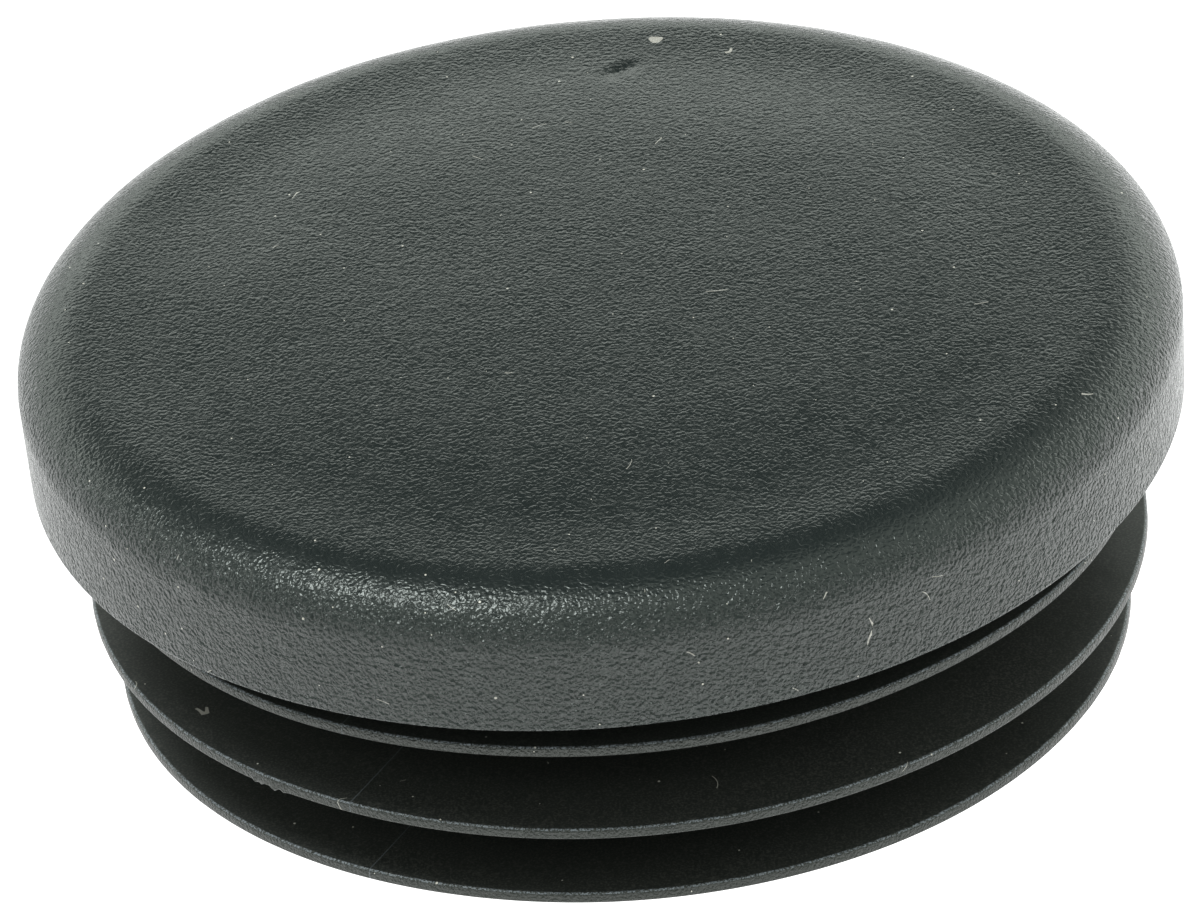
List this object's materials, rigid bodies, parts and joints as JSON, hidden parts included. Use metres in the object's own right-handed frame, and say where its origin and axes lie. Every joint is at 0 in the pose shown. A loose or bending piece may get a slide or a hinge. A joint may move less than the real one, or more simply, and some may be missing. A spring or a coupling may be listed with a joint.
{
  "type": "ribbed tube insert",
  "caption": "Round push-in insert with a grained domed head and thin grip fins on a hollow barrel, closing the end of a round tube.",
  "frame": {"origin": "centre of the head's underside, in the plane where the tube's end seats", "axes": "+Z along the insert's axis, out of the tube and up through the head; +X along one web of the stiffening cross"},
  "size_m": [0.05, 0.05, 0.0186],
  "materials": {
    "grained_polyethylene": "fine moulded leather grain, semi-matte",
    "smooth_polyethylene": "smooth as moulded, semi-matte"
  },
  "bodies": {
    "root": {"head_cap": "grained_polyethylene", "barrel": "smooth_polyethylene", "fin_upper": "smooth_polyethylene", "fin_middle": "smooth_polyethylene", "fin_lower": "smooth_polyethylene", "stiffening_cross": "smooth_polyethylene", "gate_nub": "smooth_polyethylene"}
  },
  "joints": []
}
